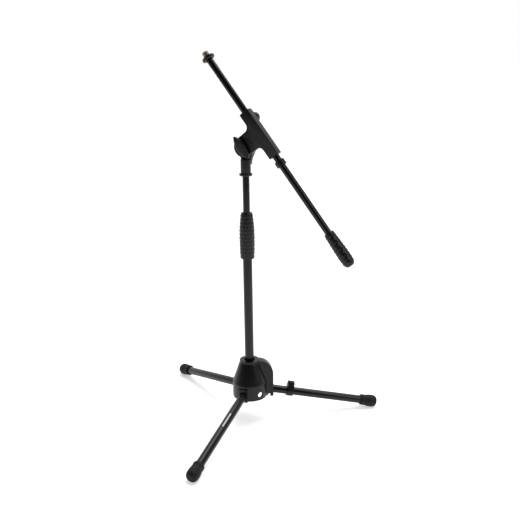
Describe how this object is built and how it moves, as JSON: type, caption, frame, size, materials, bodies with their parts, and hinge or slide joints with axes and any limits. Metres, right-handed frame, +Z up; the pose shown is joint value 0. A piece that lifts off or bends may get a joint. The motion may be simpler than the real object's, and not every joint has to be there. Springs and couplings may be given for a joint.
{
  "type": "boom microphone stand",
  "caption": "Short floor microphone stand with fold-down tripod legs, a telescoping column and a tilting, sliding boom arm.",
  "frame": {"origin": "point on the floor under the column's axis", "axes": "+Z up along the column, +X along the right leg seen from above, the other legs at 120 and 240 degrees"},
  "size_m": [0.498, 0.5708, 0.8876],
  "materials": {
    "painted_steel": "semi-gloss black powder coat",
    "black_plastic": "satin moulded, glass-filled nylon",
    "black_rubber": "matte, moulded dots on the grips",
    "die_cast": "as cast",
    "zinc_steel": "bright zinc plate",
    "nickel": "bright nickel plate",
    "nylon": "natural black nylon"
  },
  "bodies": {
    "base": {"hub_shell": "black_plastic", "leg_carrier": "die_cast", "lower_tube": "painted_steel", "tube_plug": "nylon", "base_screw": "zinc_steel", "clutch_core": "zinc_steel", "clutch_collet": "nylon", "leg_pin_right": "zinc_steel", "leg_pin_back": "zinc_steel", "leg_pin_front": "zinc_steel"},
    "leg_right": {"leg_socket_right": "black_plastic", "leg_tube_right": "painted_steel", "foot_cap_right": "black_rubber"},
    "leg_back": {"leg_socket_back": "black_plastic", "leg_tube_back": "painted_steel", "foot_cap_back": "black_rubber"},
    "leg_front": {"leg_socket_front": "black_plastic", "leg_tube_front": "painted_steel", "foot_cap_front": "black_rubber"},
    "cable_clip": {"cable_clip": "black_plastic"},
    "height_grip": {"height_grip": "black_rubber"},
    "upper_column": {"upper_tube": "painted_steel", "tube_guide": "nylon", "column_stud": "zinc_steel"},
    "pan_head": {"swivel_holder": "black_plastic", "holder_ring": "black_plastic", "pivot_bolt": "zinc_steel"},
    "boom_clamp": {"boom_clamp": "black_plastic", "friction_washer": "nylon"},
    "wing_knob": {"wing_knob": "black_plastic", "wing_nut": "zinc_steel"},
    "boom_lock_knob": {"boom_lock_knob": "black_plastic", "lock_screw": "zinc_steel"},
    "boom_liner": {"clamp_liner": "nylon"},
    "boom": {"boom_tube": "painted_steel", "thread_adapter": "nickel", "tip_ring": "black_plastic", "stop_ring": "black_plastic", "hand_grip": "black_rubber"}
  },
  "joints": [
    {"name": "leg_fold_right", "type": "hinge", "parent": "base", "child": "leg_right", "pos_m": [0.026, 0, 0.0766], "axis": [0, 1, 0], "range_deg": [0, 76]},
    {"name": "leg_fold_back", "type": "hinge", "parent": "base", "child": "leg_back", "pos_m": [-0.013, 0.02252, 0.0766], "axis": [-0.866, -0.5, 0], "range_deg": [0, 76]},
    {"name": "leg_fold_front", "type": "hinge", "parent": "base", "child": "leg_front", "pos_m": [-0.013, -0.02252, 0.0766], "axis": [0.866, -0.5, 0], "range_deg": [0, 76]},
    {"name": "clip_slide", "type": "slide", "parent": "leg_right", "child": "cable_clip", "axis": [0.9775, 0, -0.211], "range_m": [-0.028, 0.17]},
    {"name": "height_lock_twist", "type": "hinge", "parent": "base", "child": "height_grip", "pos_m": [0, 0, 0.465], "axis": [0, 0, 1], "range_deg": [0, 270]},
    {"name": "column_slide", "type": "slide", "parent": "base", "child": "upper_column", "axis": [0, 0, 1], "range_m": [-0.06, 0.22]},
    {"name": "head_pan", "type": "hinge", "parent": "upper_column", "child": "pan_head", "pos_m": [0, 0, 0.63], "axis": [0, 0, 1], "continuous": true},
    {"name": "boom_tilt", "type": "hinge", "parent": "pan_head", "child": "boom_clamp", "pos_m": [0, 0, 0.677], "axis": [-0.5592, -0.829, 0], "range_deg": [-38, 130]},
    {"name": "tilt_lock_turn", "type": "hinge", "parent": "pan_head", "child": "wing_knob", "pos_m": [-0.01007, -0.01492, 0.677], "axis": [-0.5592, -0.829, 0], "continuous": true},
    {"name": "boom_lock_turn", "type": "hinge", "parent": "boom_clamp", "child": "boom_lock_knob", "pos_m": [0.02163, 0.00954, 0.74014], "axis": [0.5592, 0.829, 0], "continuous": true},
    {"name": "boom_roll", "type": "hinge", "parent": "boom_clamp", "child": "boom_liner", "pos_m": [0.03188, -0.0215, 0.70704], "axis": [-0.5104, 0.3443, 0.788], "continuous": true},
    {"name": "boom_slide", "type": "slide", "parent": "boom_liner", "child": "boom", "axis": [-0.5104, 0.3443, 0.788], "range_m": [-0.105, 0.012]}
  ]
}
